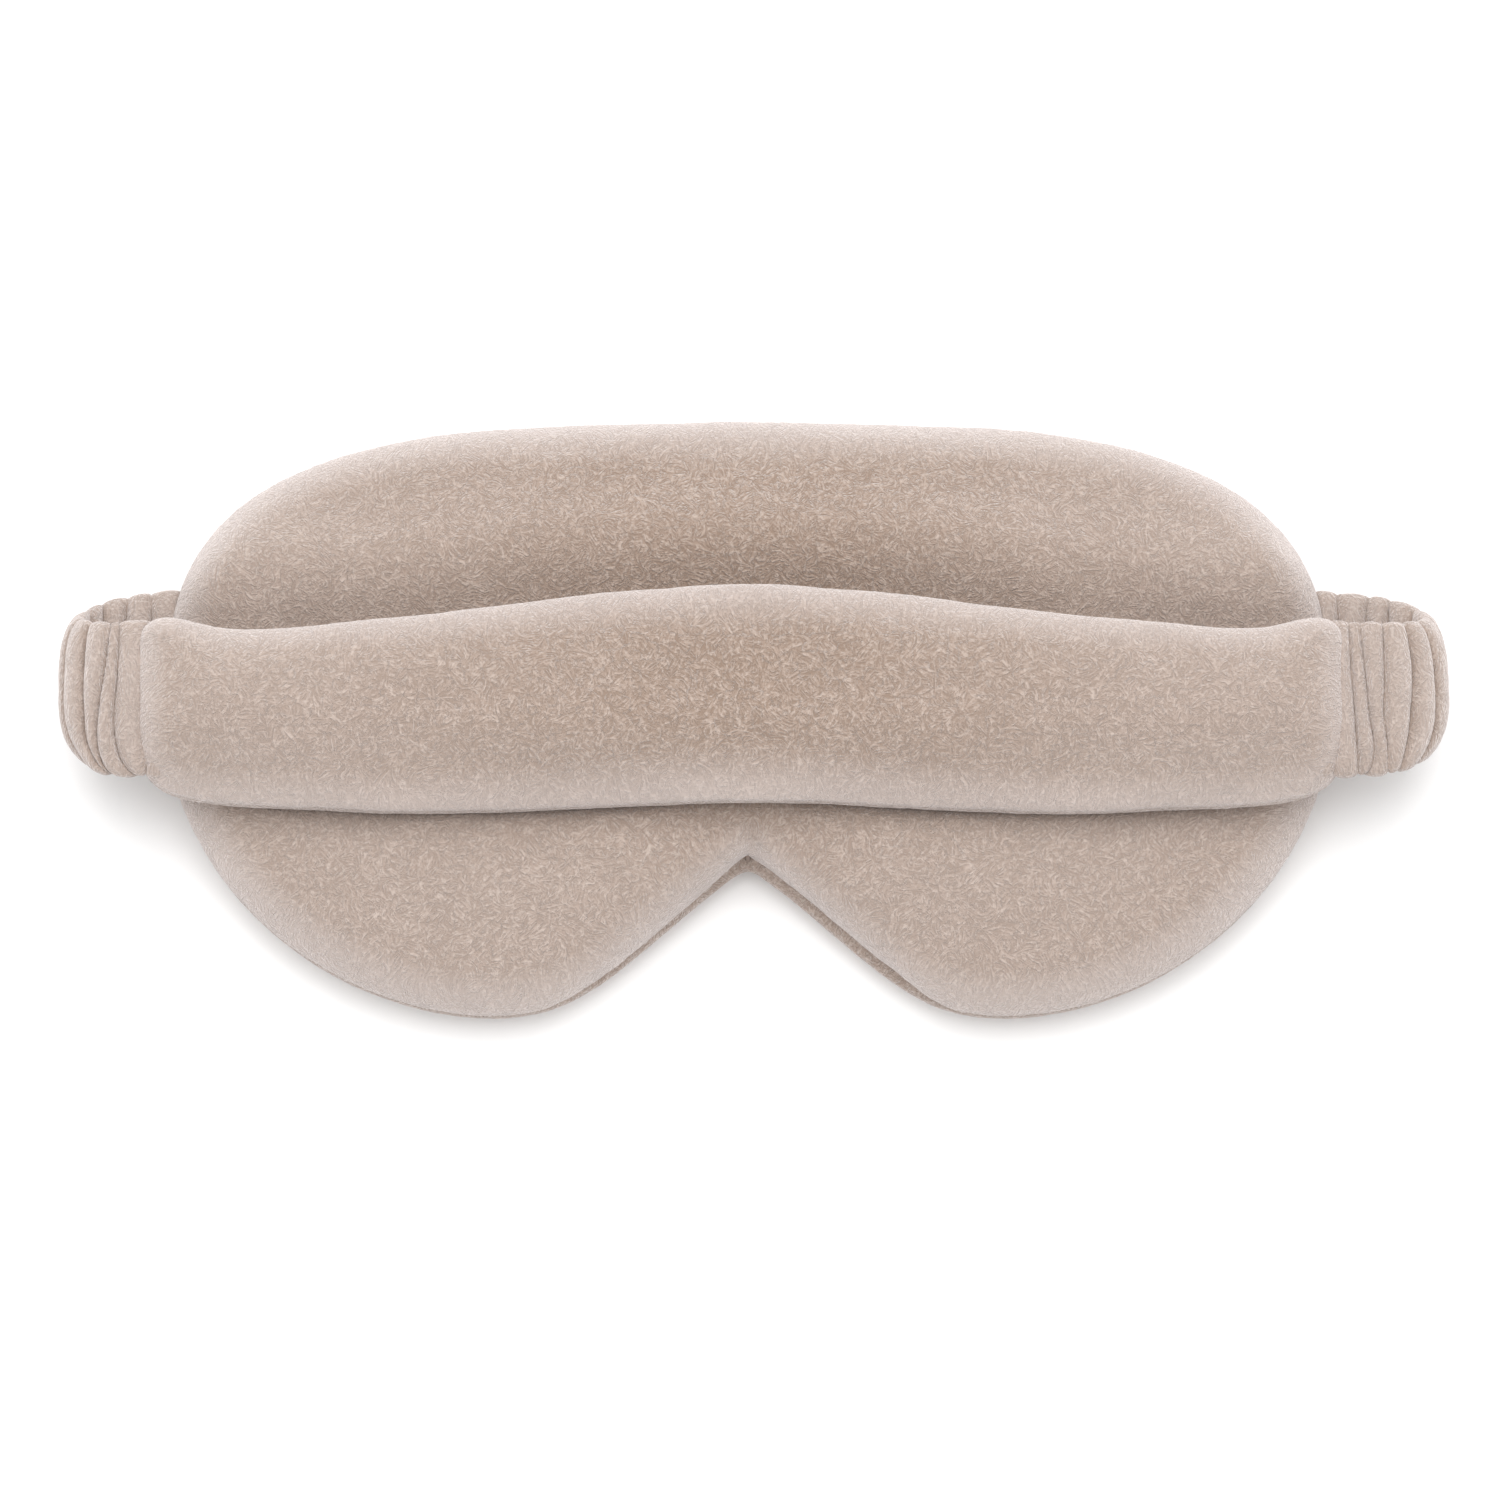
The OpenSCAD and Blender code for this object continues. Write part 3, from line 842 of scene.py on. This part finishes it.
def thread_material():
    """Twisted thread."""
    m, nodes, links, shader = new_material("thread")
    place = nodes.new("ShaderNodeTexCoord").outputs["Object"]
    twist = nodes.new("ShaderNodeTexWave")
    twist.inputs["Scale"].default_value = 1 / (0.6 * MM)
    twist.bands_direction = "DIAGONAL"
    links.new(place, twist.inputs["Vector"])
    between, strand = (0.20, 0.145, 0.12), (0.34, 0.26, 0.22)
    tone = colour_ramp(nodes, links, twist.outputs["Fac"], (0.0, between), (1.0, strand))
    links.new(tone, shader.inputs["Base Color"])
    bumped(nodes, links, shader, twist.outputs["Fac"], 0.05 * MM)
    shader.inputs["Roughness"].default_value = 0.6
    return m


def fibre_material():
    """Loose white fibre filling."""
    m, nodes, links, shader = new_material("fibre_filling")
    place = nodes.new("ShaderNodeTexCoord").outputs["Object"]
    strands = noise_node(nodes, links, place, 1.2 * MM, 6.0)
    tone = colour_ramp(nodes, links, strands, (0.35, (0.62, 0.61, 0.58)), (0.65, (0.86, 0.85, 0.82)))
    links.new(tone, shader.inputs["Base Color"])
    bumped(nodes, links, shader, strands, 0.6 * MM)
    shader.inputs["Roughness"].default_value = 1.0
    shader.inputs["Sheen Weight"].default_value = 0.4
    return m


def woven(name, pitch, low, high, depth):
    """A plain weave: threads that cross at right angles."""
    m, nodes, links, shader = new_material(name)
    place = nodes.new("ShaderNodeTexCoord").outputs["Object"]
    waves = []
    for direction in ("X", "Y"):
        wave = nodes.new("ShaderNodeTexWave")
        wave.bands_direction = direction
        wave.inputs["Scale"].default_value = 0.314 / pitch  # a wave at scale 1 is 0.314 m long
        links.new(place, wave.inputs["Vector"])
        waves.append(wave.outputs["Fac"])
    cross = math_node(nodes, links, "MAXIMUM", *waves)
    links.new(colour_ramp(nodes, links, cross, (0.0, low), (1.0, high)), shader.inputs["Base Color"])
    bumped(nodes, links, shader, cross, depth)
    shader.inputs["Roughness"].default_value = 0.8
    return m


def elastic_material():
    return woven("woven_elastic", 0.9 * MM, (0.56, 0.55, 0.52), (0.82, 0.81, 0.78), 0.12 * MM)


def lining_material():
    return woven("blackout_weave", 0.5 * MM, (0.006, 0.006, 0.007), (0.022, 0.022, 0.025), 0.05 * MM)


# ---------- Dressing, light and camera ----------

def paint(ob, material):
    ob.data.materials.clear()
    ob.data.materials.append(material)


def finished(ob, material, slot, *nodes, body=None):
    """Paints a piece, hides the frame's nodes that it replaces, and lets it ride on a body."""
    paint(ob, material)
    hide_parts(*nodes)
    if body:
        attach(ob, body)
    return ob


def area_light(name, place, size, power):
    """A square softbox that faces the middle of the scene."""
    light = bpy.data.lights.new(name, "AREA")
    light.size = size
    light.energy = power
    ob = bpy.data.objects.new(name, light)
    ob.location = place
    ob.rotation_euler = (-Vector(place)).to_track_quat("-Z", "Y").to_euler()
    bpy.context.scene.collection.objects.link(ob)


def set_stage():
    """A plain pale floor, an even white studio and a soft light above."""
    corners = np.array([[-6, -6, 0], [6, -6, 0], [6, 6, 0], [-6, 6, 0]], float)
    floor = mesh_object("floor", corners, [(0, 1, 2, 3)])
    paint(floor, floor_material())
    world = bpy.data.worlds.new("studio")
    world.use_nodes = True
    world.node_tree.nodes["Background"].inputs["Color"].default_value = (1, 1, 1, 1)
    world.node_tree.nodes["Background"].inputs["Strength"].default_value = 1.0
    bpy.context.scene.world = world
    area_light("top_softbox", (0.0, 0.5, 1.5), 1.4, 20)
    bpy.context.scene.view_settings.view_transform = "Standard"


def set_camera():
    """A long lens that looks down at the photograph's angle from the front."""
    lens, sensor = 200.0, 36.0
    view_w = 294 * MM  # width of the view at the mask
    distance = view_w * lens / sensor
    tilt = math.radians(80)
    aim = Vector((0.4 * MM, -6.2 * MM, 9 * MM))
    data = bpy.data.cameras.new("camera")
    data.lens = lens
    data.sensor_width = sensor
    cam = bpy.data.objects.new("camera", data)
    back = Vector((0, -math.cos(tilt), math.sin(tilt)))
    cam.location = aim + back * distance
    cam.rotation_euler = (-back).to_track_quat("-Z", "Y").to_euler()
    bpy.context.scene.collection.objects.link(cam)
    bpy.context.scene.camera = cam


# ---------- Building it ----------

set_stage()
set_camera()

cloth = plush()
thread = thread_material()
fibre = fibre_material()
elastic = elastic_material()
lining = lining_material()

mask_face, mask_outer = build_mask()
band_front, band_back = build_band()
for ob, node, body in (
    (mask_face, "face_panel", "mask"),
    (mask_outer, "outer_panel", "mask"),
    (band_front, "band_front_panel", "head_band"),
    (band_back, "band_back_panel", "head_band"),
):
    finished(ob, cloth, "plush_cloth", node, body=body)

face_wadding = build_wadding("mask_face_wadding", mask_outline, SEAM_Z + MM, 7 * MM, 0.3 * MM, 201)
outer_wadding = build_wadding("mask_outer_wadding", mask_outline, SEAM_Z - MM, 0.3 * MM, 6 * MM, 202)
band_wadding = build_wadding("band_wadding", band_outline, BAND_SEAM_Z, 4 * MM, 5.5 * MM, 203)
for ob, node, body in (
    (face_wadding, "face_padding", "mask"),
    (outer_wadding, "outer_padding", "mask"),
    (band_wadding, "band_padding", "head_band"),
):
    finished(ob, fibre, "padding", node, body=body)

liner_edge = inset_outline(mask_outline, 4 * MM, LINER_INSET)
liner = pillow("blackout_sheet", liner_edge, 6 * MM, SEAM_Z, 0.25 * MM, 0.25 * MM, 0.5 * MM)
finished(liner, lining, "blackout_cloth", "blackout_liner", body="mask")

mask_seam = inner_seam(mask_outline, SEAM_Z, shape_outer_edge, STITCH_INSET)
band_seam = inner_seam(band_outline, BAND_SEAM_Z, shape_band, STITCH_INSET)
mask_thread = seam_stitches("mask_seam_thread", mask_seam, STITCH_PITCH)
band_thread = seam_stitches("band_seam_thread", band_seam, STITCH_PITCH)
finished(mask_thread, thread, "thread", "edge_stitching", body="mask")
finished(band_thread, thread, "thread", "band_stitching", body="head_band")
finished(build_tack(mask_face), thread, "thread", "nose_tack", body="mask")

# The folds of each sleeve from the mask to the band: place, lean and bend.
folds = {
    "right": [
        (-2, 0, 0), (4, 0.5, 0), (9.5, -0.5, 0), (14.5, 0.4, 0), (20, -0.4, 0),
        (26, 0.4, 0), (32.2, 0, 0.4), (38.4, 0.2, 0.9), (42.8, 0, 0.7), (46.8, 0.2, -0.4),
        (49.6, 1.4, 1.8), (52.8, 0.5, 0), (57, 0, 0), (61, 0, 0),
    ],
    "left": [
        (-2, 0, 0), (4.5, -0.5, 0), (10, 0.5, 0), (15.5, -0.5, 0), (21, 0.4, 0),
        (27, -0.3, 0), (32, 0, 0.6), (35.9, -0.6, 2.2), (41.2, -0.2, 3.0), (44.6, 1.6, 2.4),
        (47.8, 0.4, 2.6), (54, 0.5, 0), (58, 0, 0), (62, 0, 0),
    ],
}
for side, word in ((1, "right"), (-1, "left")):
    sleeve = build_sleeve(side, f"{word}_gathered_sleeve", folds[word], 91 + 40 * side)
    web = build_elastic(side, f"{word}_woven_elastic")
    finished(sleeve, cloth, "plush_cloth", f"{word}_elastic_sleeve")
    finished(web, elastic, "woven_elastic", f"{word}_elastic_webbing")
    for ob in (sleeve, web):
        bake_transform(ob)
    mask_row_x = side * (MASK_HALF_W - END_ROW_INSET)
    band_row_x = side * (BAND_HALF_W - END_ROW_INSET)
    side_row = end_stitches(f"{word}_side_thread", mask_row_x, LOOP_MASK_Y, SEAM_Z)
    band_row = end_stitches(f"{word}_band_end_thread", band_row_x, LOOP_BAND_Y, BAND_SEAM_Z)
    finished(side_row, thread, "thread", f"{word}_side_stitching", body="mask")
    finished(band_row, thread, "thread", f"{word}_band_end_stitching", body="head_band")
